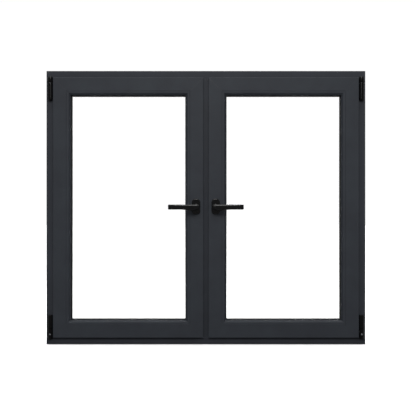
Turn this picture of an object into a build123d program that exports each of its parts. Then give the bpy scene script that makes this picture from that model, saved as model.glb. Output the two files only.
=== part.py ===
"""Two-sash tilt-and-turn casement window with a fixed mullion.

Millimetres. +Z is up, +X is to the right seen from the room, and the room side faces -Y.
The origin is the centre of the frame's bottom face, at half the frame's depth.
Right-hand pieces are modelled and the left-hand ones are their mirror images.
"""
from build123d import *
import os
from math import cos, radians, sin

# ---- driving dimensions ----
frame_width = 1400
frame_height = 1200
frame_front = -35            # room-side face of the outer frame
frame_back = 35              # weather-side face
frame_land = 38              # width of the frame's room-side land
frame_lip = 28               # weather lip standing in behind the sash
lip_front = 22               # room-side face of that lip
wall = 3                     # wall of a hollow profile

rebate_gap = 12              # hardware gap between frame land and sash body
sash_overlap = 8             # sash flange laid over the frame land
sash_front = -51
flange_back = -41
sash_back = 19
sash_flange = sash_overlap + rebate_gap
sash_body = 39               # flange root to the glazing rebate
glass_lip = 18               # bead and lip over the glass edge
seal_show = 3                # glazing seal seen past the bead
glass_lip_front = 7
mullion_half = 19            # half width of the mullion's stem

groove_y = -22               # middle of the hardware groove round the sash
groove_seat = 16             # shallow seat for the faceplate
groove_seat_depth = 3
groove_width = 12
groove_depth = 10

pane = 4
unit_back = 4                # weather face of the glazing unit
unit_depth = 24
glass_gap = 5                # room round the glass for its blocks

hinge_x = 681.5              # turning axis, in front of the frame land
hinge_y = -47
tilt_z = 42                  # tilting axis, through the corner pivot
barrel_r = 10.8
gap = 0.3                    # free gap between pieces of different bodies

handle_x = 43                # spindle
handle_z = 605
rod_travel = 18
cam_levels = (250, 950)
anchor_levels = (250, 950)
anchor_r = 5

# ---- derived places, right-hand sash ----
half_width = frame_width / 2
sash_left = mullion_half - sash_overlap
sash_right = half_width - frame_land + sash_overlap
sash_bottom = frame_land - sash_overlap
sash_top = frame_height - sash_bottom
rebate = sash_flange + sash_body               # sash edge to the glazing rebate
bead_edge = rebate + glass_lip
daylight = bead_edge + seal_show               # sash edge to the clear glass
body_left = sash_left + sash_flange
body_right = sash_right - sash_flange
body_top = sash_top - sash_flange
unit_front = unit_back - unit_depth
seal_depth = glass_lip_front - unit_back
bead_back = unit_front - seal_depth

ALONG = {"top": (1, 0, 0), "bottom": (-1, 0, 0), "left": (0, 0, 1), "right": (0, 0, -1)}
INWARD = {"top": (0, 0, -1), "bottom": (0, 0, 1), "left": (1, 0, 0), "right": (-1, 0, 0)}

os.makedirs("parts", exist_ok=True)


def export(piece, node):
    piece.label = node
    export_step(piece, f"parts/{node}.step")


def export_pair(piece, node):
    export(piece, node + "_right")
    with BuildPart() as twin:
        mirror(piece, about=Plane.YZ)
    export(twin.part, node + "_left")


def block(x, y, z, mode=Mode.ADD):
    """A box between pairs of limits, in the open builder."""
    size = [limits[1] - limits[0] for limits in (x, y, z)]
    with Locations([(x[0], y[0], z[0])]):
        Box(*size, align=Align.MIN, mode=mode)


def rod_along(axis, centre, radius, length, mode=Mode.ADD):
    """A round bar from centre, along one of the world axes, in the open builder."""
    with Locations(Plane(origin=centre, z_dir=axis)):
        Cylinder(radius, length, align=(Align.CENTER, Align.CENTER, Align.MIN), mode=mode)


def mitred_bar(section, side, left, right, bottom, top, relief=0):
    """One side of a rectangle's frame: a section run along it, mitred at both ends.

    relief pulls each mitre back along the bar, where the corner is a joint and not a weld.
    """
    along = Vector(*ALONG[side])
    inward = Vector(*INWARD[side])
    first = {
        "top": (left, 0, top),
        "bottom": (right, 0, bottom),
        "left": (left, 0, bottom),
        "right": (right, 0, top),
    }
    length = right - left if side in ("top", "bottom") else top - bottom
    start = Vector(*first[side])
    with BuildPart() as bar:
        with BuildSketch(Plane(origin=start, x_dir=inward, z_dir=along)):
            add(section)
        extrude(amount=length)
        first_mitre = start + along * relief
        split(bisect_by=Plane(origin=first_mitre, z_dir=along - inward), keep=Keep.TOP)
        last_mitre = start + along * (length - relief)
        split(bisect_by=Plane(origin=last_mitre, z_dir=-along - inward), keep=Keep.TOP)
    return bar.part


def sash_bar(section, side, relief=0):
    return mitred_bar(section, side, sash_left, sash_right, sash_bottom, sash_top, relief)


def ring(inset, width, back, depth, left=sash_left, right=sash_right):
    """A rectangular ring set in from a sash's outline, from its room-side plane back."""
    bottom = sash_bottom + inset
    top = sash_top - inset
    with BuildPart() as band:
        block((left + inset, right - inset), (back, back + depth), (bottom, top))
        inner_x = (left + inset + width, right - inset - width)
        block(inner_x, (back, back + depth), (bottom + width, top - width), Mode.SUBTRACT)
    return band.part


# ---- sections: across (from the outer edge inward), depth (towards the weather) ----
# Chambers inside the profiles: where each starts in depth, and how deep it is.
middle_chamber_front = -20
middle_chamber_depth = 39
room_chamber_depth = 9
lip_chamber_depth = 7
sash_room_depth = 36
sash_weather_front = -9
sash_weather_depth = 25
flange_chamber_depth = 4
bead_chamber_front = -44
bead_chamber_depth = 18

with BuildSketch() as frame_section:
    with BuildLine():
        Polyline(
            (0, frame_front),
            (frame_land, frame_front),
            (frame_land, lip_front),
            (frame_land + frame_lip, lip_front),
            (frame_land + frame_lip, frame_back),
            (0, frame_back),
            close=True,
        )
    make_face()
    fillet(frame_section.vertices().group_by(Axis.X)[-1], radius=2)
    fillet(frame_section.vertices().group_by(Axis.Y)[0], radius=1.2)
    chamber = frame_land - 2 * wall
    with Locations((wall, middle_chamber_front)):
        Rectangle(chamber, middle_chamber_depth, align=Align.MIN, mode=Mode.SUBTRACT)
    with Locations((wall, frame_front + wall)):
        Rectangle(chamber, room_chamber_depth, align=Align.MIN, mode=Mode.SUBTRACT)
    with Locations((wall, lip_front + wall)):
        lip_chamber = chamber + frame_lip
        Rectangle(lip_chamber, lip_chamber_depth, align=Align.MIN, mode=Mode.SUBTRACT)

with BuildSketch() as mullion_section:
    with Locations((0, frame_front)):
        Rectangle(2 * mullion_half, lip_front - frame_front, align=(Align.CENTER, Align.MIN))
    with Locations((0, lip_front)):
        lip_width = 2 * (mullion_half + frame_lip)
        Rectangle(lip_width, frame_back - lip_front, align=(Align.CENTER, Align.MIN))
    fillet(mullion_section.vertices().group_by(Axis.X)[0], radius=2)
    fillet(mullion_section.vertices().group_by(Axis.X)[-1], radius=2)
    fillet(mullion_section.vertices().group_by(Axis.Y)[0], radius=1.2)
    stem_chamber = 2 * (mullion_half - wall)
    centred = (Align.CENTER, Align.MIN)
    with Locations((0, middle_chamber_front)):
        Rectangle(stem_chamber, middle_chamber_depth, align=centred, mode=Mode.SUBTRACT)
    with Locations((0, frame_front + wall)):
        Rectangle(stem_chamber, room_chamber_depth, align=centred, mode=Mode.SUBTRACT)
    with Locations((0, lip_front + wall)):
        Rectangle(lip_width - 2 * wall, lip_chamber_depth, align=centred, mode=Mode.SUBTRACT)

with BuildSketch() as sash_section:
    with BuildLine():
        Polyline(
            (0, sash_front),
            (rebate, sash_front),
            (rebate, glass_lip_front),
            (bead_edge, glass_lip_front),
            (bead_edge, sash_back),
            (sash_flange, sash_back),
            (sash_flange, flange_back),
            (0, flange_back),
            close=True,
        )
    make_face()
    fillet(sash_section.vertices().group_by(Axis.X)[0], radius=2)
    fillet(sash_section.vertices().group_by(Axis.X)[-1], radius=3)
    fillet(sash_section.vertices().group_by(Axis.Y)[0].sort_by(Axis.X)[-1], radius=1.2)
    with Locations((sash_flange, groove_y)):
        edge = (Align.MIN, Align.CENTER)
        Rectangle(groove_seat_depth, groove_seat, align=edge, mode=Mode.SUBTRACT)
        Rectangle(groove_depth, groove_width, align=edge, mode=Mode.SUBTRACT)
    groove_end = sash_flange + groove_depth + wall
    with Locations((groove_end, sash_front + wall)):
        sash_room_chamber = rebate - wall - groove_end
        Rectangle(sash_room_chamber, sash_room_depth, align=Align.MIN, mode=Mode.SUBTRACT)
    with Locations((sash_flange + wall, sash_weather_front)):
        sash_weather_chamber = sash_body - 2 * wall
        Rectangle(sash_weather_chamber, sash_weather_depth, align=Align.MIN, mode=Mode.SUBTRACT)
    with Locations((wall, sash_front + wall)):
        Rectangle(sash_flange + wall, flange_chamber_depth, align=Align.MIN, mode=Mode.SUBTRACT)

bead_bevel = 8
bead_fall = 0.5              # the bead's face drops this much towards the glass
with BuildSketch() as bead_section:
    with BuildLine():
        Polyline(
            (rebate, sash_front),
            (bead_edge - bead_bevel, sash_front + bead_fall),
            (bead_edge, sash_front + bead_fall + bead_bevel),
            (bead_edge, bead_back),
            (rebate, bead_back),
            close=True,
        )
    make_face()
    fillet(bead_section.vertices().group_by(Axis.X)[1], radius=4)
    fillet(bead_section.vertices().group_by(Axis.Y)[0], radius=1.2)
    bead_chamber = glass_lip - bead_bevel + 1
    with Locations((rebate + wall, bead_chamber_front)):
        Rectangle(bead_chamber, bead_chamber_depth, align=Align.MIN, mode=Mode.SUBTRACT)

# ---- outer frame ----
FRAME_BARS = {"top": "head", "bottom": "sill", "left": "jamb_left", "right": "jamb_right"}
for side, bar_name in FRAME_BARS.items():
    with BuildPart() as frame_bar:
        add(mitred_bar(frame_section.sketch, side, -half_width, half_width, 0, frame_height))
        if side in ("left", "right"):
            for level in anchor_levels:
                outer = (-half_width if side == "left" else half_width, 0, level)
                rod_along(INWARD[side], outer, anchor_r, frame_land, Mode.SUBTRACT)
    export(frame_bar.part, "frame_" + bar_name)

with BuildPart() as mullion:
    with BuildSketch(Plane.XY.offset(frame_land)):
        add(mullion_section.sketch)
    extrude(amount=frame_height - 2 * frame_land)
    for level in (frame_land, frame_height - frame_land - frame_lip):
        coped = (-lip_width, lip_width)
        block(coped, (lip_front, frame_back), (level, level + frame_lip), Mode.SUBTRACT)
export(mullion.part, "mullion")

# Steel boxes slide into the middle chambers, clear of the welded corners.
steel_wall = 2
steel_gap = 2                # between a steel box and its chamber, or more
steel_setback = 60


def core(span):
    """The limits of a steel box's hollow, from the limits of its outside."""
    return (span[0] + steel_wall, span[1] - steel_wall)


steel_y = (-18, 17)
steel_width = frame_land - 2 * (wall + steel_gap)
with BuildPart() as frame_steel:
    run = (steel_setback - half_width, half_width - steel_setback)
    rise = (steel_setback, frame_height - steel_setback)
    for low in (wall + steel_gap, frame_height - wall - steel_gap - steel_width):
        span = (low, low + steel_width)
        block(run, steel_y, span)
        block(run, core(steel_y), core(span), Mode.SUBTRACT)
    for low in (-half_width + wall + steel_gap, half_width - wall - steel_gap - steel_width):
        span = (low, low + steel_width)
        block(span, steel_y, rise)
        block(core(span), core(steel_y), rise, Mode.SUBTRACT)
    for level in anchor_levels:
        rod_along((1, 0, 0), (-half_width, 0, level), anchor_r, frame_width, Mode.SUBTRACT)
    span = (-mullion_half + wall + 1, mullion_half - wall - 1)
    short_rise = (steel_setback + 10, frame_height - steel_setback - 10)
    block(span, steel_y, short_rise)
    block(core(span), core(steel_y), short_rise, Mode.SUBTRACT)
export(frame_steel.part, "frame_steel")

cleat_height = 25
with BuildPart() as mullion_cleats:
    cleat_x = (-mullion_half + wall + 0.5, mullion_half - wall - 0.5)
    for level in (frame_land, frame_height - frame_land - cleat_height):
        block(cleat_x, (-19, 18), (level, level + cleat_height))
export(mullion_cleats.part, "mullion_cleats")

# The frame's weather seal: one ring behind each sash, on the face of the lip.
with BuildPart() as frame_seal:
    seal = ring(sash_flange + 4, 8, sash_back + gap, lip_front - sash_back - gap)
    add(seal)
    mirror(seal, about=Plane.YZ)
export(frame_seal.part, "frame_seal")

with BuildPart() as drain_covers:
    for x in (-half_width / 2, half_width / 2):
        with BuildSketch(Plane.XZ.offset(-frame_back)) as cover:
            with Locations((x, 22)):
                SlotOverall(42, 14)
        extrude(amount=-4)
    fillet(drain_covers.faces().sort_by(Axis.Y)[-2:].edges(), radius=1.5)
export(drain_covers.part, "drain_covers")

# Each cam has a keep on the mullion: a plate and a lip that the cam slides behind.
with BuildPart() as keeps:
    for side in (-1, 1):
        for level in cam_levels:
            plate = sorted((side * mullion_half, side * (mullion_half + 1.8)))
            lip = sorted((side * (mullion_half + 1.8), side * (mullion_half + 9)))
            block(plate, (-34, -10), (level - 15, level + 45))
            block(lip, (-32.5, -26), (level + 10, level + 40))
export(keeps.part, "keeps")

# ---- hinge side, fixed to the frame ----
rest_bottom = 25
rest_top = 69.5
swivel_r = 8
swivel_bottom = 33
with BuildPart() as pivot_rest:
    with BuildSketch(Plane.XY.offset(rest_bottom)):
        with Locations((hinge_x, hinge_y)):
            Circle(barrel_r)
    extrude(amount=rest_top - rest_bottom)
    fillet(pivot_rest.edges().group_by(Axis.Z)[0], radius=7)
    block((hinge_x - 7, hinge_x + 7), (hinge_y, frame_front), (rest_bottom + 7, rest_top))
    block((hinge_x - 8, hinge_x + 11), (frame_front - 2, frame_front), (22, rest_top))
    bore = rest_top - swivel_bottom
    rod_along((0, 0, 1), (hinge_x, hinge_y, swivel_bottom), swivel_r, bore, Mode.SUBTRACT)
export_pair(pivot_rest.part, "pivot_rest")

bearing_bottom = 1068
bearing_top = 1144.7
pin_r = 4
pin_foot = 1085
with BuildPart() as stay_bearing:
    with BuildSketch(Plane.XY.offset(bearing_bottom)):
        with Locations((hinge_x, hinge_y)):
            Circle(barrel_r)
    extrude(amount=bearing_top - bearing_bottom)
    fillet(stay_bearing.edges().group_by(Axis.Z)[0], radius=8)
    block((hinge_x - 7, hinge_x + 7), (hinge_y, frame_front), (bearing_bottom + 9, bearing_top))
    plate_rise = (bearing_bottom + 6, bearing_top)
    block((hinge_x - 8, hinge_x + 9), (frame_front - 2, frame_front), plate_rise)
    rod_along((0, 0, 1), (hinge_x, hinge_y, pin_foot), pin_r, 90, Mode.SUBTRACT)
export_pair(stay_bearing.part, "stay_bearing")

eye_top = 1174
with BuildPart() as stay_pin:
    rod_along((0, 0, 1), (hinge_x, hinge_y, pin_foot), pin_r, eye_top - 4 - pin_foot)
    chamfer(stay_pin.edges().group_by(Axis.Z)[-1], length=0.8)
export_pair(stay_pin.part, "stay_pin")

# ---- the swivel: turns in the pivot rest and carries the tilting tongue on a cross pin ----
tongue = 5
with BuildPart() as pivot_swivel:
    swivel_foot = (hinge_x, hinge_y, swivel_bottom + 0.1)
    rod_along((0, 0, 1), swivel_foot, swivel_r - 0.05, 18)
    slot = (hinge_x - tongue / 2 - 0.2, hinge_x + tongue / 2 + 0.2)
    slot_rise = (tilt_z - 4.6, tilt_z + 20)
    block(slot, (hinge_y - 10, hinge_y + 10), slot_rise, Mode.SUBTRACT)
    rod_along((1, 0, 0), (hinge_x - 6, hinge_y, tilt_z), 2, 12)
export_pair(pivot_swivel.part, "pivot_swivel")

# ---- corner hinge on the sash: barrel, tongue, and a leaf cranked round behind the flange ----
crank = (-39.7, -36.7)
hinge_bottom = 72
hinge_top = 130
leaf = (75, 125)
with BuildPart() as corner_hinge:
    with BuildSketch(Plane.XY.offset(hinge_bottom)):
        with Locations((hinge_x, hinge_y)):
            Circle(barrel_r)
    extrude(amount=hinge_top - hinge_bottom)
    fillet(corner_hinge.edges().group_by(Axis.Z)[-1], radius=2)
    block((body_right + 3, hinge_x), crank, leaf)
    block((body_right, body_right + 3), (crank[0], -2), leaf)
    side_faces = (hinge_x - tongue / 2, hinge_x + tongue / 2)
    block(side_faces, (hinge_y - 4, hinge_y + 4), (tilt_z, hinge_bottom))
    rod_along((1, 0, 0), (side_faces[0], hinge_y, tilt_z), 4, tongue)
    rod_along((1, 0, 0), (side_faces[0], hinge_y, tilt_z), 2.05, tongue, Mode.SUBTRACT)
export_pair(corner_hinge.part, "corner_hinge")

# ---- stay arm: eye on the top pin, crank, flat arm over the top rail, guide pin ----
stay_length = 260
arm_bottom = body_top + 3
arm_top = arm_bottom + 3
with BuildPart() as stay_arm:
    with BuildSketch(Plane.XY.offset(bearing_top + gap)):
        with Locations((hinge_x, hinge_y)):
            Circle(barrel_r)
    extrude(amount=eye_top - bearing_top - gap)
    fillet(stay_arm.edges().group_by(Axis.Z)[-1], radius=8)
    block((hinge_x - 24, hinge_x - 3), crank, (arm_bottom - 1, arm_top + 4))
    block((hinge_x - 40, hinge_x - 21), (crank[0], groove_y + 9), (arm_bottom, arm_top))
    arm_x = (hinge_x - stay_length - 8, hinge_x - 21)
    block(arm_x, (groove_y - 9, groove_y + 9), (arm_bottom, arm_top))
    guide = (hinge_x - stay_length, groove_y, arm_bottom - 10.5)
    rod_along((0, 0, 1), guide, 3, 10.5)
    eye_bore_foot = (hinge_x, hinge_y, bearing_top)
    rod_along((0, 0, 1), eye_bore_foot, pin_r + 0.05, eye_top - 3 - bearing_top, Mode.SUBTRACT)
export_pair(stay_arm.part, "stay_arm")

# ---- sash: four mitred bars ----
rod_front = body_left + groove_seat_depth
rod_thick = 2
box_x = (rod_front + rod_thick + 0.4, 64)
box_y = (groove_y - 7, groove_y + 7)
box_z = (handle_z - 60, handle_z + 60)
screw_r = 2.5
screw_levels = (handle_z - 21.5, handle_z + 21.5)
with BuildPart() as lock_stile:
    add(sash_bar(sash_section.sketch, "left"))
    pocket = [(limits[0] - 0.5, limits[1] + 0.5) for limits in (box_x, box_y, box_z)]
    block(*pocket, Mode.SUBTRACT)
    rod_along((0, 1, 0), (handle_x, sash_front, handle_z), 8, 22, Mode.SUBTRACT)
    for level in screw_levels:
        rod_along((0, 1, 0), (handle_x, sash_front, level), screw_r, 22, Mode.SUBTRACT)
export_pair(lock_stile.part, "sash_lock_stile")

with BuildPart() as hinge_stile:
    add(sash_bar(sash_section.sketch, "right"))
export_pair(hinge_stile.part, "sash_hinge_stile")

with BuildPart() as top_rail:
    add(sash_bar(sash_section.sketch, "top"))
export_pair(top_rail.part, "sash_top_rail")

with BuildPart() as bottom_rail:
    add(sash_bar(sash_section.sketch, "bottom"))
export_pair(bottom_rail.part, "sash_bottom_rail")

with BuildPart() as beads:
    for side in ALONG:
        add(sash_bar(bead_section.sketch, side, relief=0.1))
export_pair(beads.part, "glazing_beads")

# Steel boxes in the weather-side chambers of the sash.
with BuildPart() as sash_steel:
    inset = sash_flange + wall + steel_gap
    width = sash_body - 2 * (wall + steel_gap)
    depth = (-7, 14)
    rise = (sash_bottom + 70, sash_top - 70)
    for low in (sash_left + inset, sash_right - inset - width):
        block((low, low + width), depth, rise)
        block(core((low, low + width)), core(depth), rise, Mode.SUBTRACT)
    run = (sash_left + 70, sash_right - 70)
    for low in (sash_bottom + inset, sash_top - inset - width):
        block(run, depth, (low, low + width))
        block(run, core(depth), core((low, low + width)), Mode.SUBTRACT)
export_pair(sash_steel.part, "sash_steel")

# ---- glazing unit and what holds it ----
glass_inset = rebate + glass_gap
glass_x = (sash_left + glass_inset, sash_right - glass_inset)
glass_z = (sash_bottom + glass_inset, sash_top - glass_inset)
with BuildPart() as pane_inner:
    block(glass_x, (unit_front, unit_front + pane), glass_z)
export_pair(pane_inner.part, "pane_inner")

with BuildPart() as pane_outer:
    block(glass_x, (unit_back - pane, unit_back), glass_z)
export_pair(pane_outer.part, "pane_outer")

export_pair(
    ring(glass_inset + 3, 10, unit_front + pane, unit_depth - 2 * pane),
    "glass_spacer",
)

with BuildPart() as glazing_seal:
    for back in (bead_back, unit_back):
        add(ring(bead_edge - 5, 5 + seal_show, back, seal_depth))
export_pair(glazing_seal.part, "glazing_seal")

block_length = 80
with BuildPart() as glazing_blocks:
    under = (sash_bottom + rebate, glass_z[0])
    for x in (glass_x[0] + 50, glass_x[1] - 50 - block_length):
        block((x, x + block_length), (unit_front, unit_back), under)
    high = (glass_z[1] - 50 - block_length, glass_z[1] - 50)
    low = (glass_z[0] + 50, glass_z[0] + 50 + block_length)
    block((sash_left + rebate, glass_x[0]), (unit_front, unit_back), high)
    block((glass_x[1], sash_right - rebate), (unit_front, unit_back), low)
export_pair(glazing_blocks.part, "glazing_blocks")

# The room-side seal sits behind the flange, and is cut away round both hinges.
with BuildPart() as sash_seal:
    add(ring(3, 5, flange_back, 4.5))
    for z in ((leaf[0] - 1.5, leaf[1] + 1.5), (arm_bottom - 4, sash_top - 8)):
        block((sash_right - 14, sash_right), (flange_back, frame_front), z, Mode.SUBTRACT)
export_pair(sash_seal.part, "sash_seal")

# ---- lock: faceplate, gearbox, drive rod with its cams ----
cam_r = 3.5
with BuildPart() as faceplate:
    plate_y = (groove_y - groove_seat / 2, groove_y + groove_seat / 2)
    block((body_left, rod_front - gap), plate_y, (120, 1080))
    for level in cam_levels:
        slot = (level - rod_travel - cam_r - 1, level + rod_travel + cam_r + 1)
        block((body_left, rod_front), (groove_y - 4, groove_y + 4), slot, Mode.SUBTRACT)
export_pair(faceplate.part, "lock_faceplate")

hub_r = 5.5
with BuildPart() as gearbox:
    block(box_x, box_y, box_z)
    rod_along((0, 1, 0), (handle_x, box_y[0], handle_z), hub_r + 0.05, 14, Mode.SUBTRACT)
    for level in screw_levels:
        rod_along((0, 1, 0), (handle_x, box_y[0], level), screw_r, 14, Mode.SUBTRACT)
export_pair(gearbox.part, "lock_gearbox")

with BuildPart() as drive_rod:
    block((rod_front, rod_front + rod_thick), (groove_y - 5, groove_y + 5), (150, 1050))
    for level in cam_levels:
        cam_tip = mullion_half + 3.5
        rod_along((1, 0, 0), (cam_tip, groove_y, level), cam_r, rod_front - cam_tip)
export_pair(drive_rod.part, "drive_rod")

# ---- handle: rosette and screws on the sash, lever and spindle that turn ----
rosette_front = sash_front - 11
with BuildPart() as rosette:
    with BuildSketch(Plane.XZ.offset(-sash_front)):
        with Locations((handle_x, handle_z)):
            RectangleRounded(36, 67, 15)
    extrude(amount=11)
    fillet(rosette.faces().sort_by(Axis.Y)[0].edges(), radius=3)
    rod_along((0, 1, 0), (handle_x, rosette_front, handle_z), 6, 11, Mode.SUBTRACT)
    for level in screw_levels:
        rod_along((0, 1, 0), (handle_x, sash_front - 7, level), 4.5, 3, Mode.SUBTRACT)
        rod_along((0, 1, 0), (handle_x, sash_front - 4, level), screw_r, 4, Mode.SUBTRACT)
export_pair(rosette.part, "handle_rosette")

with BuildPart() as handle_screws:
    for level in screw_levels:
        rod_along((0, 1, 0), (handle_x, sash_front - 7, level), 4.5, 3)
        rod_along((0, 1, 0), (handle_x, sash_front - 4, level), screw_r, 38)
export_pair(handle_screws.part, "handle_screws")

lever_back = -91
lever_front = -105
lever_tip = 164
grip = (591, 612)
belly = 586                  # the lever is deeper next to its neck
heel_x = handle_x - 14
half_square = 3.5            # the spindle is a 7 mm square
square_x = (handle_x - half_square, handle_x + half_square)
square_z = (handle_z - half_square, handle_z + half_square)
spindle_front = lever_back - 3
with BuildPart() as lever:
    with BuildSketch(Plane.XZ.offset(-lever_back)) as lever_outline:
        with BuildLine():
            Polyline(
                (heel_x, grip[1]),
                (lever_tip, grip[1]),
                (lever_tip, grip[0]),
                (112, grip[0]),
                (82, belly),
                (handle_x + 2, belly),
                (heel_x, 598),
                close=True,
            )
        make_face()
        fillet(lever_outline.vertices().sort_by(Axis.X)[:3], radius=9)
        fillet(lever_outline.vertices().sort_by(Axis.X)[-4:-2], radius=40)
    extrude(amount=lever_back - lever_front)
    fillet(lever.edges().filter_by(Axis.Y, reverse=True), radius=4.5)
    neck = rosette_front - gap - lever_back
    rod_along((0, -1, 0), (handle_x, rosette_front - gap, handle_z), 8.5, neck + 4)
    block(square_x, (spindle_front, sash_front - 9), square_z, Mode.SUBTRACT)
export_pair(lever.part, "handle_lever")

with BuildPart() as spindle:
    block(square_x, (spindle_front, box_y[1]), square_z)
    rod_along((0, 1, 0), (handle_x, box_y[0], handle_z), hub_r, 14)
export_pair(spindle.part, "handle_spindle")

tilt = radians(7)
print("sash", sash_right - sash_left, "x", sash_top - sash_bottom)
print("daylight", sash_right - sash_left - 2 * daylight, "x", sash_top - sash_bottom - 2 * daylight)
print("tilt opening at the top", round((sash_top - tilt_z) * sin(tilt)))
print("top rail drops", round((sash_top - tilt_z) * (1 - cos(tilt)), 1))
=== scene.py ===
# %% [markdown]
# # A tilt-and-turn casement window
# The window comes in as a fixed frame: sixty nodes of an exact model, each on a body that moves.
# Here they get the finish of real foil, powder coat, zinc, rubber and glass, and the small pieces
# that an exact model leaves out: hinge covers, screws, rivets and weld lines. The levers and the
# drain covers are shaped anew and stand for the plain ones.

# %% Load the exact model
from math import pi

import bmesh
import bpy
from mathutils import Matrix, Vector


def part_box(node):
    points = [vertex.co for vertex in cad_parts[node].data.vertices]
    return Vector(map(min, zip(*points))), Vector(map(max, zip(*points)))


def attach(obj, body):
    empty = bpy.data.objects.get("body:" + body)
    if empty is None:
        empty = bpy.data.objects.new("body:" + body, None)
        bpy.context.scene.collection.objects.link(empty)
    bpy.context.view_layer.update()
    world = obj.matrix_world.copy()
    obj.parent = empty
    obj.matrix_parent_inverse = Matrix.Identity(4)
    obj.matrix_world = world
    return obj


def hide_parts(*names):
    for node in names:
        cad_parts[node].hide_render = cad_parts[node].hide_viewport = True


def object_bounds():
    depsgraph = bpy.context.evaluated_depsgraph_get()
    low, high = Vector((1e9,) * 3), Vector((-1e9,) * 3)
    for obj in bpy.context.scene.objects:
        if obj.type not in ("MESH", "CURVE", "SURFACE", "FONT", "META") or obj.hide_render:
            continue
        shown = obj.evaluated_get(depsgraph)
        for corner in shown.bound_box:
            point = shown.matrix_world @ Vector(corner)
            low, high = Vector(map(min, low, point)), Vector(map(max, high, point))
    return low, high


MM = 0.001

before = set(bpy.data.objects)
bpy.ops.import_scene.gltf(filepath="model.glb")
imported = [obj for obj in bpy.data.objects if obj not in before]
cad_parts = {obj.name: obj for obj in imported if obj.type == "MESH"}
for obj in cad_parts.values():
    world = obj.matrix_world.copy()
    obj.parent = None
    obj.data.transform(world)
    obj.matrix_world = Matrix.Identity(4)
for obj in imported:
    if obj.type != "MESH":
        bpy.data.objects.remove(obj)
cad_low, cad_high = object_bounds()
print("window from", tuple(cad_low), "to", tuple(cad_high))

# %% [markdown]
# Places are read from the nodes' boxes where a box can tell them. The right-hand sash is the
# pattern, and the left-hand one is its mirror image about X = 0.

# %% Read the places that the new pieces need
frame_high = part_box("frame_jamb_right")[1]
frame_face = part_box("frame_head")[0].y
sash_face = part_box("sash_top_rail_right")[0].y
lever_low, lever_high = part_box("handle_lever_right")
spindle_low, spindle_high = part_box("handle_spindle_right")
swivel_low, swivel_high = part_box("pivot_swivel_right")
eye_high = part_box("stay_arm_right")[1]
bearing_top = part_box("stay_bearing_right")[1].z

hinge_x = (swivel_low.x + swivel_high.x) / 2
hinge_y = (swivel_low.y + swivel_high.y) / 2
barrel_r = eye_high.x - hinge_x
spindle_x = (spindle_low.x + spindle_high.x) / 2
spindle_z = (spindle_low.z + spindle_high.z) / 2
middle = (cad_low + cad_high) / 2
print("turning axis", round(hinge_x, 4), round(hinge_y, 4), "barrel radius", round(barrel_r, 4))
print("spindle", round(spindle_x, 4), round(spindle_z, 4))

# %% [markdown]
# ## Camera and light
# A product view of a window looks straight at its middle from far off through a long lens, so
# upright edges stay upright. The camera stands a touch to the right of the middle.

# %% Place the camera
camera_distance = 4.5
camera_right = 7 * MM
camera_rise = 0.5 * MM
camera_data = bpy.data.cameras.new("camera")
camera_data.sensor_width = 36
camera_data.lens = 88.2
camera = bpy.data.objects.new("camera", camera_data)
bpy.context.collection.objects.link(camera)
camera.location = (camera_right, -camera_distance, middle.z + camera_rise)
camera.rotation_euler = (pi / 2, 0, 0)
bpy.context.scene.camera = camera
print("lens", camera_data.lens, "at", tuple(camera.location))

# %% [markdown]
# The floor is a pale sweep just under the sill. A studio sweep is far brighter to the eye than
# what it throws back on a dark window, so the sky and the floor are white to a camera ray, and to
# one that has passed through glass, and much dimmer to every other ray. A wide soft light hangs
# high in front, on the middle line: it brightens the bevels that face it and leaves the
# undersides dark. A second one behind shows the weather side, and a soft sun straight above
# lights the floor evenly.

# %% Helpers for materials and nodes
def linear(hex_colour):
    """An sRGB hex colour as the linear RGBA that shaders take."""
    channels = [int(hex_colour[i : i + 2], 16) / 255 for i in (0, 2, 4)]
    straight = [c / 12.92 if c <= 0.04045 else ((c + 0.055) / 1.055) ** 2.4 for c in channels]
    return (*straight, 1)


def material(name, **sockets):
    """A new material, with same-everywhere values set on the shader's own sockets."""
    made = bpy.data.materials.new(name)
    made.use_nodes = True
    shader = made.node_tree.nodes["Principled BSDF"]
    for socket, value in sockets.items():
        shader.inputs[socket.replace("_", " ")].default_value = value
    return made


def add_node(owner, kind, settings=None, links=None):
    """Add a node: settings fill its properties and sockets, links feed its sockets."""
    node = owner.node_tree.nodes.new(kind)
    for key, value in (settings or {}).items():
        if isinstance(key, int) or key in node.inputs:
            node.inputs[key].default_value = value
        else:
            setattr(node, key, value)
    for key, source in (links or {}).items():
        owner.node_tree.links.new(source, node.inputs[key])
    return node


def bright_to_camera(owner, dim, bright, through_glass=1.0):
    """A level that is bright to camera rays, that times a gain to rays straight through glass,
    and dim to all others. Dim may be a number or a node's output."""
    path = add_node(owner, "ShaderNodeLightPath")
    seen = add_node(
        owner,
        "ShaderNodeMath",
        {"operation": "MULTIPLY_ADD", 1: through_glass},
        {0: path.outputs["Is Transmission Ray"], 2: path.outputs["Is Camera Ray"]},
    )
    never_mirrored = add_node(
        owner,
        "ShaderNodeMath",
        {"operation": "LESS_THAN", 1: 0.5},
        {0: path.outputs["Glossy Depth"]},
    )
    straight = add_node(
        owner,
        "ShaderNodeMath",
        {"operation": "MULTIPLY"},
        {0: seen.outputs["Value"], 1: never_mirrored.outputs["Value"]},
    )
    settings = {"clamp": False, "To Max": bright}
    links = {"Value": straight.outputs["Value"]}
    (links if isinstance(dim, bpy.types.NodeSocket) else settings)["To Min"] = dim
    level = add_node(owner, "ShaderNodeMapRange", settings, links)
    return level.outputs["Result"]


# %% Sky
horizon_glow, overhead_glow = 0.24, 0.85
sky_seen = 1.02
sky_gain_in_glass = 1.22

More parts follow.
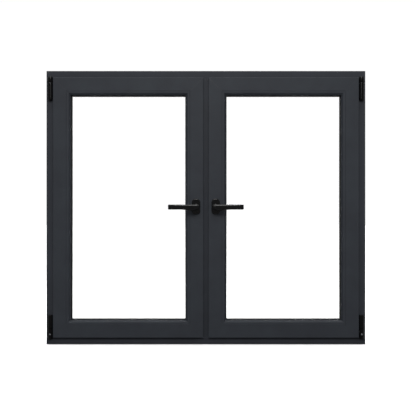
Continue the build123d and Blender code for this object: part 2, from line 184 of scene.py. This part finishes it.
world = bpy.data.worlds.new("sky")
world.use_nodes = True
sky = world.node_tree.nodes["Background"]
sky.inputs["Color"].default_value = linear("FFFFFF")
direction = add_node(world, "ShaderNodeTexCoord").outputs["Generated"]
height = add_node(world, "ShaderNodeSeparateXYZ", links={"Vector": direction})
glow_on_window = add_node(
    world,
    "ShaderNodeMapRange",
    {"From Min": 0.0, "From Max": 1.0, "To Min": horizon_glow, "To Max": overhead_glow},
    {"Value": height.outputs["Z"]},
)
sky_level = bright_to_camera(
    world, glow_on_window.outputs["Result"], sky_seen, sky_gain_in_glass
)
world.node_tree.links.new(sky_level, sky.inputs["Strength"])
bpy.context.scene.world = world
bpy.context.scene.view_settings.view_transform = "Standard"
print("sky ready")

# %% Floor
floor_gap = 1 * MM
floor_shade, floor_shade_seen = 0.22, 1.0
floor_glow, floor_glow_seen, floor_gain_in_glass = 0.0, 0.25, 1.8

bpy.ops.object.select_all(action="DESELECT")
bpy.ops.mesh.primitive_plane_add(size=60, location=(0, 0, cad_low.z - floor_gap))
floor = bpy.context.object
floor.name = "floor"
sweep = material("white_sweep", Roughness=0.9, Specular_IOR_Level=0.0)
sweep_shader = sweep.node_tree.nodes["Principled BSDF"]
sweep_shader.inputs["Emission Color"].default_value = linear("FFFFFF")
shade = bright_to_camera(sweep, floor_shade, floor_shade_seen)
glow = bright_to_camera(sweep, floor_glow, floor_glow_seen, floor_gain_in_glass)
sweep.node_tree.links.new(shade, sweep_shader.inputs["Base Color"])
sweep.node_tree.links.new(glow, sweep_shader.inputs["Emission Strength"])
floor.data.materials.append(sweep)
print("floor ready")


# %% Lights
AIM_POINT = Vector((0, 0, 0.5))


def soft_light(name, place, size, watts):
    """A square area light aimed a little below the middle of the window."""
    data = bpy.data.lights.new(name, "AREA")
    data.size = size
    data.energy = watts
    lamp = bpy.data.objects.new(name, data)
    bpy.context.collection.objects.link(lamp)
    lamp.location = place
    lamp.rotation_mode = "QUATERNION"
    lamp.rotation_quaternion = (AIM_POINT - Vector(place)).to_track_quat("-Z", "Y")


soft_light("key", place=(0, -4.0, 2.5), size=1.2, watts=74)
soft_light("back", place=(0, 2.6, 2.8), size=1.6, watts=60)
overhead = bpy.data.lights.new("overhead", "SUN")
overhead.energy = 1.5
overhead.angle = 0.6
sun = bpy.data.objects.new("overhead", overhead)
bpy.context.collection.objects.link(sun)
sun.location = (0, 0, 4)
print("lights ready")

# %% [markdown]
# ## Anthracite foil
# PVC-U profiles are extruded white and wrapped in an embossed acrylic foil, about 0.2 mm thick.
# The anthracite one is a blue-grey near black with a fine matt grain. The emboss is a shallow
# pebble about 0.4 mm across, drawn here at 1.6 mm so that it shows, with a faint drift in tone
# over a hand's width from the laminating rollers. It scatters light softly, so its roughness is
# high and its highlights are wide.

# %% Foil for the frame and the sashes
# A noise texture's values lie mostly between these two.
NOISE_LOW, NOISE_HIGH = 0.3, 0.7


def foil(name, shade, light_shade):
    """Embossed matt foil; the two shades are the ends of its slow drift in tone."""
    drift_size = 90 * MM
    pebble_size = 1.6 * MM
    pebble_depth = 0.08 * MM
    made = material(name, Roughness=0.55, IOR=1.49, Specular_IOR_Level=0.2)
    shader = made.node_tree.nodes["Principled BSDF"]
    place = add_node(made, "ShaderNodeTexCoord").outputs["Object"]
    drift = add_node(
        made, "ShaderNodeTexNoise", {"Scale": 1 / drift_size, "Detail": 2}, {"Vector": place}
    )
    tone = add_node(made, "ShaderNodeValToRGB", links={"Fac": drift.outputs["Fac"]})
    tone.color_ramp.elements[0].position = NOISE_LOW
    tone.color_ramp.elements[0].color = linear(shade)
    tone.color_ramp.elements[1].position = NOISE_HIGH
    tone.color_ramp.elements[1].color = linear(light_shade)
    made.node_tree.links.new(tone.outputs["Color"], shader.inputs["Base Color"])
    pebble = add_node(
        made, "ShaderNodeTexNoise", {"Scale": 1 / pebble_size, "Detail": 3}, {"Vector": place}
    )
    gloss = add_node(
        made,
        "ShaderNodeMapRange",
        {"From Min": NOISE_LOW, "From Max": NOISE_HIGH, "To Min": 0.48, "To Max": 0.62},
        {"Value": pebble.outputs["Fac"]},
    )
    made.node_tree.links.new(gloss.outputs["Result"], shader.inputs["Roughness"])
    emboss = add_node(
        made,
        "ShaderNodeBump",
        {"Strength": 0.5, "Distance": pebble_depth},
        {"Height": pebble.outputs["Fac"]},
    )
    made.node_tree.links.new(emboss.outputs["Normal"], shader.inputs["Normal"])
    return made


# One foil in two copies: the frame's is a shade darker than the sashes'. That is painted shade,
# for the frame lies back behind the sashes in their shadow.
frame_foil_painted_shade = foil("anthracite_foil_frame_painted_shade", "2C2F35", "30333A")
sash_foil = foil("anthracite_foil_sash", "2E3137", "32363C")
print("foils:", frame_foil_painted_shade.name, sash_foil.name)

# %% [markdown]
# ## Black hardware
# Levers and rosettes are die-cast zinc, powder coated in fine black. Powder melts to a skin with
# a faint orange peel about 1.5 mm across and a satin gloss. The hinges show black moulded caps,
# whose texture is much the same and whose gloss is lower.

# %% Powder coat and moulded caps
def satin_black(name, shade, roughness, gleam):
    """Satin black with an orange peel, and a fine speckle in its gloss. Gleam is how much light
    its surface throws back, 0.5 being all that its IOR gives."""
    peel_size = 1.5 * MM
    peel_depth = 0.04 * MM
    speckle_size = 0.3 * MM
    speckle = 0.05
    made = material(name, Base_Color=linear(shade), IOR=1.5, Specular_IOR_Level=gleam)
    shader = made.node_tree.nodes["Principled BSDF"]
    place = add_node(made, "ShaderNodeTexCoord").outputs["Object"]
    peel = add_node(
        made, "ShaderNodeTexNoise", {"Scale": 1 / peel_size, "Detail": 1}, {"Vector": place}
    )
    specks = add_node(
        made, "ShaderNodeTexNoise", {"Scale": 1 / speckle_size, "Detail": 2}, {"Vector": place}
    )
    gloss = add_node(
        made,
        "ShaderNodeMapRange",
        {
            "From Min": NOISE_LOW,
            "From Max": NOISE_HIGH,
            "To Min": roughness - speckle,
            "To Max": roughness + speckle,
        },
        {"Value": specks.outputs["Fac"]},
    )
    made.node_tree.links.new(gloss.outputs["Result"], shader.inputs["Roughness"])
    skin = add_node(
        made,
        "ShaderNodeBump",
        {"Strength": 0.2, "Distance": peel_depth},
        {"Height": peel.outputs["Fac"]},
    )
    made.node_tree.links.new(skin.outputs["Normal"], shader.inputs["Normal"])
    return made


handle_black = satin_black("black_powder_coat", "010102", roughness=0.15, gleam=0.34)
cap_black = satin_black("black_moulded_cap", "020203", roughness=0.24, gleam=0.18)
print("blacks:", handle_black.name, cap_black.name)

# %% [markdown]
# ## Zinc-plated steel
# The lock, its rod and the stay arm are rolled or stamped steel strip with bright zinc plating.
# Rolling leaves long fine streaks, and the plating has soft cloudy patches 10 to 20 mm wide.

# %% Zinc plating
def zinc(name, shade, streak_axis):
    """Zinc plating over rolled strip; streaks run along one axis of the frame."""
    streak_width, streak_length = 0.4 * MM, 40 * MM
    streak_depth = 0.02 * MM
    cloud_size = 15 * MM
    made = material(name, Metallic=1.0, Base_Color=linear(shade))
    shader = made.node_tree.nodes["Principled BSDF"]
    place = add_node(made, "ShaderNodeTexCoord").outputs["Object"]
    stretch = [1 / streak_width] * 3
    stretch[streak_axis] = 1 / streak_length
    along = add_node(made, "ShaderNodeMapping", {"Scale": stretch}, {"Vector": place})
    streak = add_node(
        made,
        "ShaderNodeTexNoise",
        {"Scale": 1.0, "Detail": 2},
        {"Vector": along.outputs["Vector"]},
    )
    cloud = add_node(
        made, "ShaderNodeTexNoise", {"Scale": 1 / cloud_size, "Detail": 2}, {"Vector": place}
    )
    both = add_node(
        made,
        "ShaderNodeMath",
        {"operation": "ADD"},
        {0: streak.outputs["Fac"], 1: cloud.outputs["Fac"]},
    )
    gloss = add_node(
        made,
        "ShaderNodeMapRange",
        {"From Min": 2 * NOISE_LOW, "From Max": 2 * NOISE_HIGH, "To Min": 0.28, "To Max": 0.5},
        {"Value": both.outputs["Value"]},
    )
    made.node_tree.links.new(gloss.outputs["Result"], shader.inputs["Roughness"])
    relief = add_node(
        made,
        "ShaderNodeBump",
        {"Strength": 0.15, "Distance": streak_depth},
        {"Height": streak.outputs["Fac"]},
    )
    made.node_tree.links.new(relief.outputs["Normal"], shader.inputs["Normal"])
    return made


ALONG_X, ALONG_Z = 0, 2
zinc_upright = zinc("zinc_plate_upright", "A9ABB0", ALONG_Z)
zinc_level = zinc("zinc_plate_level", "A9ABB0", ALONG_X)
print("zincs:", zinc_upright.name, zinc_level.name)

# %% [markdown]
# ## Glass, rubber and the parts inside
# Float glass is flat and clear. Seals are extruded EPDM rubber:
# deep black and dull, with a fine grain. The spacer between the panes is a black warm-edge
# strip, and the packers under the glass are moulded polypropylene.

# %% Glass
float_glass = material(
    "float_glass", Base_Color=linear("FFFFFF"), Roughness=0.0, IOR=1.52, Transmission_Weight=1.0
)
print("glass:", float_glass.name)

# %% Rubber, spacer and packers
def dull(name, shade, roughness, grain):
    """Dull rubber, plastic or ink with a fine grain of the given size."""
    grain_depth = 0.05 * MM
    made = material(name, Base_Color=linear(shade), Roughness=roughness, IOR=1.5)
    shader = made.node_tree.nodes["Principled BSDF"]
    place = add_node(made, "ShaderNodeTexCoord").outputs["Object"]
    noise = add_node(
        made, "ShaderNodeTexNoise", {"Scale": 1 / grain, "Detail": 2}, {"Vector": place}
    )
    relief = add_node(
        made,
        "ShaderNodeBump",
        {"Strength": 0.3, "Distance": grain_depth},
        {"Height": noise.outputs["Fac"]},
    )
    made.node_tree.links.new(relief.outputs["Normal"], shader.inputs["Normal"])
    return made


rubber = dull("epdm_rubber", "0E0E0F", roughness=0.7, grain=0.5 * MM)
warm_edge = dull("warm_edge_spacer", "141415", roughness=0.6, grain=1 * MM)
packer_blue = dull("polypropylene_packer", "2E4F7A", roughness=0.45, grain=2 * MM)
print("dull:", rubber.name, warm_edge.name, packer_blue.name)

# %% [markdown]
# Each node keeps its exact shape and takes a material by the start of its name, the first that
# fits. The stay arms and drive rods run in different directions, so each has the zinc whose
# streaks run along it.

# %% Give every exact node its finish
FINISHES = {
    "frame_steel": zinc_level,
    "frame_seal": rubber,
    "frame_": frame_foil_painted_shade,
    "mullion_cleats": packer_blue,
    "mullion": frame_foil_painted_shade,
    "drain_covers": frame_foil_painted_shade,
    "keeps": zinc_upright,
    "pivot_rest": cap_black,
    "stay_bearing": cap_black,
    "stay_pin": zinc_upright,
    "pivot_swivel": zinc_upright,
    "stay_arm": zinc_level,
    "corner_hinge": cap_black,
    "sash_seal": rubber,
    "sash_steel": zinc_upright,
    "sash_": sash_foil,
    "glazing_beads": sash_foil,
    "glazing_seal": rubber,
    "glazing_blocks": packer_blue,
    "glass_spacer": warm_edge,
    "pane_": float_glass,
    "lock_": zinc_upright,
    "drive_rod": zinc_upright,
    "handle_rosette": handle_black,
    "handle_lever": handle_black,
    "handle_screws": zinc_level,
    "handle_spindle": zinc_level,
}
for name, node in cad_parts.items():
    finish = next(made for start, made in FINISHES.items() if name.startswith(start))
    for slot in node.material_slots:
        slot.material = finish
print(len(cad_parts), "nodes finished")

# %% [markdown]
# ## Modelling helpers
# Each new piece starts as a box or a rod at its true place and is then shaped in edit mode. The
# faces to work on are picked by where they are and which way they look, as a hand would.

# %% Start a box or a rod, and pick faces
# A face looks along an axis when its unit normal reaches this far along it.
FACING = 0.9
# Faces that meet at more than the first are rounded, and at more than the second shade as edges.
SHARP_ANGLE, EDGE_ANGLE = pi / 7, pi / 4


def new_box(low, high):
    """A box between two corners, with its place in its mesh."""
    bpy.ops.object.select_all(action="DESELECT")
    low, high = Vector(low), Vector(high)
    bpy.ops.mesh.primitive_cube_add(size=1, location=(low + high) / 2, scale=high - low)
    bpy.ops.object.transform_apply(location=True, rotation=True, scale=True)
    return bpy.context.object


def new_rod(foot, direction, radius, length, sides=32):
    """A rod from the middle of its foot, with its place in its mesh."""
    bpy.ops.object.select_all(action="DESELECT")
    direction = Vector(direction)
    bpy.ops.mesh.primitive_cylinder_add(
        vertices=sides,
        radius=radius,
        depth=length,
        location=Vector(foot) + direction * (length / 2),
        rotation=direction.to_track_quat("Z", "Y").to_euler(),
    )
    bpy.ops.object.transform_apply(location=True, rotation=True, scale=True)
    return bpy.context.object


def pick_faces(test):
    """In edit mode, select only the faces whose middle and normal pass the test."""
    bpy.ops.mesh.select_mode(type="FACE")
    bpy.ops.mesh.select_all(action="DESELECT")
    shell = bmesh.from_edit_mesh(bpy.context.object.data)
    for face in shell.faces:
        if test(face.calc_center_median(), face.normal):
            face.select_set(True)
    bmesh.update_edit_mesh(bpy.context.object.data)


def push_out(x, y, z):
    """Extrude the picked faces by a move."""
    bpy.ops.mesh.extrude_region_move(TRANSFORM_OT_translate={"value": (x, y, z)})


# %% Finish a piece, and copy it
def round_edges(piece, width, segments=3):
    """Round every sharp edge, as a mould or a die does, and shade it smooth."""
    bpy.context.view_layer.objects.active = piece
    rounding = piece.modifiers.new("rounding", "BEVEL")
    rounding.width = width
    rounding.segments = segments
    rounding.limit_method = "ANGLE"
    rounding.angle_limit = SHARP_ANGLE
    bpy.ops.object.modifier_apply(modifier=rounding.name)
    bpy.ops.object.shade_smooth_by_angle(angle=EDGE_ANGLE)


def own_copy(piece, name, place):
    """A copy with its own mesh, moved there by a matrix."""
    copy = piece.copy()
    copy.data = piece.data.copy()
    copy.name = name
    copy.data.transform(place)
    bpy.context.collection.objects.link(copy)
    return copy


def join(pieces, name):
    """Join pieces into the first of them, or name the only one."""
    bpy.ops.object.select_all(action="DESELECT")
    for piece in pieces:
        piece.select_set(True)
    bpy.context.view_layer.objects.active = pieces[0]
    if len(pieces) > 1:
        bpy.ops.object.join()
    pieces[0].name = name
    return pieces[0]


def dress(piece, body, finish):
    """Give a piece its finish and the body it rides on."""
    piece.data.materials.clear()
    piece.data.materials.append(finish)
    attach(piece, body)


def dress_pair(piece, name, body, finish):
    """Finish a right-hand piece and its mirror image; body may hold a side, as in sash_{}."""
    piece.name = name + "_right"
    other = own_copy(piece, name + "_left", Matrix.Scale(-1, 4, (1, 0, 0)))
    bpy.ops.object.select_all(action="DESELECT")
    other.select_set(True)
    bpy.context.view_layer.objects.active = other
    bpy.ops.object.mode_set(mode="EDIT")
    bpy.ops.mesh.select_all(action="SELECT")
    bpy.ops.mesh.normals_make_consistent(inside=False)
    bpy.ops.object.mode_set(mode="OBJECT")
    dress(piece, body.format("right"), finish)
    dress(other, body.format("left"), finish)
    print(name, len(piece.data.polygons), "faces, twice")
    return piece, other


# %% [markdown]
# ## Lever handle
# The lever is one die casting in zinc: a round neck stands out from the rosette and runs into a
# flat grip at right angles. The grip is deepest and tallest at the hub, tapers over the next
# 54 mm and ends square. A box drawn out from the hub in short steps, each a little thinner and
# lower, gives that taper, and a wide rounding gives the soft top edge that catches the light. The
# neck is a rod drawn out from its own collar.

# %% The grip
hub_height = lever_high.z - lever_low.z
hub_depth = 15 * MM
hub_end = spindle_x + 13 * MM
tip_height = 22 * MM
tip_depth = 12 * MM
taper_length = 54 * MM
taper_steps = 9
heel_reach = 1 * MM
heel_shrink = 0.6
heel_drop = 3 * MM


def eased(start, end, share):
    """A size between two, leaving the one and reaching the other gently."""
    return start + (end - start) * share * share * (3 - 2 * share)


lever = new_box(
    (lever_low.x - heel_reach, lever_low.y, lever_low.z),
    (hub_end, lever_low.y + hub_depth, lever_high.z),
)
bpy.ops.object.mode_set(mode="EDIT")
pick_faces(lambda middle, normal: normal.x > FACING)
for step in range(taper_steps):
    push_out(taper_length / taper_steps, 0, 0)
    now, after = step / taper_steps, (step + 1) / taper_steps
    thinner = eased(hub_depth, tip_depth, after) / eased(hub_depth, tip_depth, now)
    lower = eased(hub_height, tip_height, after) / eased(hub_height, tip_height, now)
    bpy.ops.transform.resize(
        value=(1, thinner, lower), center_override=(spindle_x, lever_low.y, lever_high.z)
    )
push_out(lever_high.x - (hub_end + taper_length), 0, 0)
pick_faces(lambda middle, normal: normal.x < -FACING)
bpy.ops.transform.resize(
    value=(1, 1, heel_shrink),
    center_override=(lever_low.x, lever_low.y, lever_high.z - heel_drop),
)
bpy.ops.object.mode_set(mode="OBJECT")
round_edges(lever, width=4.2 * MM, segments=5)
print("grip", len(lever.data.polygons), "faces")

# %% The neck
neck_r = 10.6 * MM
collar_length = 5 * MM
collar_step = 2 * MM
sunk_in_grip = 3 * MM
neck = new_rod((spindle_x, lever_high.y, spindle_z), (0, -1, 0), neck_r, collar_length, sides=40)
bpy.ops.object.mode_set(mode="EDIT")
pick_faces(lambda middle, normal: normal.y < -FACING)
bpy.ops.mesh.inset(thickness=collar_step)
push_out(0, lever_low.y + hub_depth - sunk_in_grip - (lever_high.y - collar_length), 0)
bpy.ops.object.mode_set(mode="OBJECT")
round_edges(neck, width=1.2 * MM)
lever = join([lever, neck], "lever_right")
for shaped, side in zip(
    dress_pair(lever, "lever", "handle_{}", handle_black), ("right", "left")
):
    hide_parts("handle_lever_" + side)

# %% [markdown]
# ## Hinge covers
# Under its black cover the upper hinge is steel. The cover over the stay arm's eye is a moulded
# sleeve with a domed end and a shallow mark in its top, and it turns with the arm.

# %% Cover over the eye of the stay arm
cover_wall = 0.35 * MM
cover_foot = bearing_top + 0.5 * MM
cover_top = eye_high.z + 1 * MM
dome = 7.5 * MM
dome_top_facing = 0.99
mark_rim, mark_depth = 0.9 * MM, 0.5 * MM
cover = new_rod(
    (hinge_x, hinge_y, cover_foot),
    (0, 0, 1),
    barrel_r + cover_wall,
    cover_top - cover_foot,
    sides=48,
)
bpy.ops.object.mode_set(mode="EDIT")
pick_faces(lambda middle, normal: normal.z > FACING)
bpy.ops.mesh.bevel(offset=dome, segments=8, affect="EDGES")
pick_faces(lambda middle, normal: normal.z > dome_top_facing)
bpy.ops.mesh.inset(thickness=mark_rim)
push_out(0, 0, -mark_depth)
bpy.ops.object.mode_set(mode="OBJECT")
round_edges(cover, width=0.25 * MM, segments=2)
dress_pair(cover, "stay_cover", "stay_{}", cap_black)

# %% [markdown]
# ## Screws and rivets
# A hardware screw has a low head with a rounded rim and a six-lobed socket. It is modelled once
# at the origin, looking along +Z: the socket is a ring of 24 points, drawn in two by two to leave
# six lobes, then sunk. Each copy is then set in its own place.

# %% One screw head
head_r = 3.3 * MM
head_height = 1.3 * MM
head_sunk = 0.4 * MM
head_rim = 1.6 * MM
socket_depth = 0.8 * MM
lobe_shrink = 0.72
socket_middle = 0.3 * MM
screw = new_rod((0, 0, -head_sunk), (0, 0, 1), head_r, head_height, sides=24)
bpy.ops.object.mode_set(mode="EDIT")
pick_faces(lambda middle, normal: normal.z > FACING)
bpy.ops.mesh.inset(thickness=head_rim)
bpy.ops.mesh.select_mode(type="VERT")
shell = bmesh.from_edit_mesh(screw.data)
socket = sorted(
    (v for v in shell.verts if v.select), key=lambda v: Vector((1, 0)).angle_signed(v.co.xy)
)
for index, vertex in enumerate(socket):
    vertex.select_set(index % 4 in (0, 1))
shell.select_flush_mode()
bmesh.update_edit_mesh(screw.data)
bpy.ops.transform.resize(value=(lobe_shrink, lobe_shrink, 1), center_override=(0, 0, 0))
pick_faces(lambda middle, normal: normal.z > FACING and middle.xy.length < socket_middle)
push_out(0, 0, -socket_depth)
bpy.ops.object.mode_set(mode="OBJECT")
round_edges(screw, width=0.15 * MM, segments=2)
print("screw head", len(screw.data.polygons), "faces")


def screws_at(places, name):
    """Copies of the screw head at (point, direction) places, joined."""
    copies = []
    for point, direction in places:
        turn = Vector(direction).to_track_quat("Z", "Y").to_matrix().to_4x4()
        copies.append(own_copy(screw, name, Matrix.Translation(point) @ turn))
    return join(copies, name)


# %% [markdown]
# Screws hold the faceplate every 200 mm or so, clear of the cams, and the leaf of the corner
# hinge at the foot of the sash. Levels are in millimetres above the sill's foot.

# %% Screws on the sash
plate_low, plate_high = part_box("lock_faceplate_right")
plate_y = (plate_low.y + plate_high.y) / 2
plate_levels = (140, 340, 500, 700, 860, 1060)
plate_places = [((plate_low.x, plate_y, level * MM), (-1, 0, 0)) for level in plate_levels]
faceplate_screws = screws_at(plate_places, "faceplate_screws")
dress_pair(faceplate_screws, "faceplate_screws", "sash_{}", zinc_upright)

leaf_thickness = 3 * MM
leaf_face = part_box("corner_hinge_right")[0].x + leaf_thickness
leaf_y = -20 * MM
leaf_levels = (84, 100, 116)
leaf_places = [((leaf_face, leaf_y, level * MM), (1, 0, 0)) for level in leaf_levels]
leaf_screws = screws_at(leaf_places, "leaf_screws")
dress_pair(leaf_screws, "leaf_screws", "sash_{}", zinc_upright)

# %% [markdown]
# Each keep has a screw near both its ends, beside its lip. The rest of the lower hinge has a
# bright screw in its front that sets the height of the sash, its head a little sunk.

# %% Screws on the frame
mullion_half = 19 * MM
keep_plate = 1.8 * MM
keep_y = -18 * MM
cam_levels = (250, 950)
screw_rises = (-8, 38)
keep_places = [
    ((mullion_half + keep_plate, keep_y, (level + rise) * MM), (1, 0, 0))
    for level in cam_levels
    for rise in screw_rises
]
keep_screws = screws_at(keep_places, "keep_screws")
dress_pair(keep_screws, "keep_screws", "frame", zinc_upright)

set_level = 46 * MM
set_sunk = 0.6 * MM
set_place = (hinge_x, hinge_y - barrel_r + set_sunk, set_level)
set_screw = screws_at([(set_place, (0, -1, 0))], "set_screw")
dress_pair(set_screw, "set_screw", "frame", zinc_level)

# %% [markdown]
# The stay arm is riveted to its crank near the hinge, and the head of its guide pin shows at the
# far end. Both have the same round head.

# %% Rivets of the stay arm
arm_y = -22 * MM
arm_top = 1156 * MM
rivet_reaches = (31, 260)
arm_places = [((hinge_x - reach * MM, arm_y, arm_top), (0, 0, 1)) for reach in rivet_reaches]
rivets = screws_at(arm_places, "stay_rivets")
dress_pair(rivets, "stay_rivets", "stay_{}", zinc_level)
bpy.data.objects.remove(screw)

# %% [markdown]
# ## Welded corners
# PVC-U bars are cut at 45 degrees, their ends are melted on a hot plate and pressed together, and
# the bead that squeezes out is planed off. The bare line is then inked over, so each corner keeps
# a thin line a shade darker and smoother than the foil. One strip is modelled, a metre long with
# sloping sides and only a hair proud, and each copy is stretched between two points.

# %% Ink over the weld
weld_ink = dull("weld_ink", "1C1F24", roughness=0.35, grain=0.6 * MM)
print("ink:", weld_ink.name)

# %% One weld line
weld_half = 0.5 * MM
weld_sunk = 0.3 * MM
weld_proud = 0.08 * MM
weld_top_share = 0.5
weld = new_box((0, -weld_half, -weld_sunk), (1, weld_half, weld_proud))
bpy.ops.object.mode_set(mode="EDIT")
pick_faces(lambda middle, normal: normal.z > FACING)
bpy.ops.transform.resize(value=(1, weld_top_share, 1), center_override=(0.5, 0, 0))
bpy.ops.object.mode_set(mode="OBJECT")
print("weld line", len(weld.data.polygons), "faces")


def welds_at(lines, name):
    """Copies of the weld line between (start, end) points with an outward direction, joined."""
    copies = []
    for start, end, outward in lines:
        along = Vector(end) - Vector(start)
        outward = Vector(outward)
        across = outward.cross(along.normalized())
        turn = Matrix((along, across, outward)).transposed().to_4x4()
        copies.append(own_copy(weld, name, Matrix.Translation(start) @ turn))
    return join(copies, name)


def corner_welds(side, inward, low, high, depth, outward, reach):
    """Weld lines at the two corners of a mitred ring's upright side. Reach is how far in from
    the ring's edge they start and end."""
    lines = []
    for edge, up in ((low, 1), (high, -1)):
        start, end = ((side + inward * r, depth, edge + up * r) for r in reach)
        lines.append((start, end, outward))
    return lines


# %% Weld lines on the frame and the mullion
room = (0, -1, 0)
weather = (0, 1, 0)
frame_side = (frame_high.x, -1, cad_low.z, cad_high.z)
frame_room_reach = (2 * MM, 37 * MM)
frame_weather_reach = (2 * MM, 64 * MM)
mullion_face_half = 17.5 * MM
frame_lines = corner_welds(*frame_side, frame_face, room, frame_room_reach)
frame_lines += corner_welds(*frame_side, frame_high.y, weather, frame_weather_reach)
mullion_low, mullion_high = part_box("mullion")
for height in (mullion_low.z, mullion_high.z):
    ends = ((0, frame_face, height), (mullion_face_half, frame_face, height))
    frame_lines.append((*ends, room))
dress_pair(welds_at(frame_lines, "frame_welds"), "frame_welds", "frame", weld_ink)

# %% Weld lines on the sashes
ring_low, ring_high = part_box("sash_hinge_stile_right")
ring_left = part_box("sash_lock_stile_right")[0].x
sash_room_reach = (2.5 * MM, 58.5 * MM)
sash_weather_reach = (22 * MM, 74 * MM)
sash_lines = []
for side, inward in ((ring_high.x, -1), (ring_left, 1)):
    sash_side = (side, inward, ring_low.z, ring_high.z)
    sash_lines += corner_welds(*sash_side, sash_face, room, sash_room_reach)
    sash_lines += corner_welds(*sash_side, ring_high.y, weather, sash_weather_reach)
dress_pair(welds_at(sash_lines, "sash_welds"), "sash_welds", "sash_{}", weld_ink)
bpy.data.objects.remove(weld)

# %% [markdown]
# ## Drain covers
# Rain that gets past the seal leaves through slots in the sill, each under a moulded cap. The cap
# is a box with round ends, its face sunk inside a rim, and an outlet sunk deeper.

# %% Two drain covers
drain_low, drain_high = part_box("drain_covers")
drain_width = 42 * MM
end_radius = 6.5 * MM
rim_width, rim_depth = 1.6 * MM, 0.7 * MM
outlet_edge, outlet_depth = 1.8 * MM, 1.8 * MM
drain = new_box((drain_high.x - drain_width, drain_low.y, drain_low.z), drain_high)
bpy.ops.object.mode_set(mode="EDIT")
bpy.ops.mesh.select_mode(type="EDGE")
bpy.ops.mesh.select_all(action="DESELECT")
shell = bmesh.from_edit_mesh(drain.data)
for edge in shell.edges:
    ends = edge.verts[0].co - edge.verts[1].co
    edge.select_set(abs(ends.y) > FACING * ends.length)
bmesh.update_edit_mesh(drain.data)
bpy.ops.mesh.bevel(offset=end_radius, segments=8, affect="EDGES")
pick_faces(lambda middle, normal: normal.y > FACING)
bpy.ops.mesh.inset(thickness=rim_width)
push_out(0, -rim_depth, 0)
bpy.ops.mesh.inset(thickness=outlet_edge)
push_out(0, -outlet_depth, 0)
bpy.ops.object.mode_set(mode="OBJECT")
round_edges(drain, width=0.3 * MM, segments=2)
right_drain, left_drain = dress_pair(drain, "drain_cap", "frame", frame_foil_painted_shade)
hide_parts("drain_covers")
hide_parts("drain_covers")
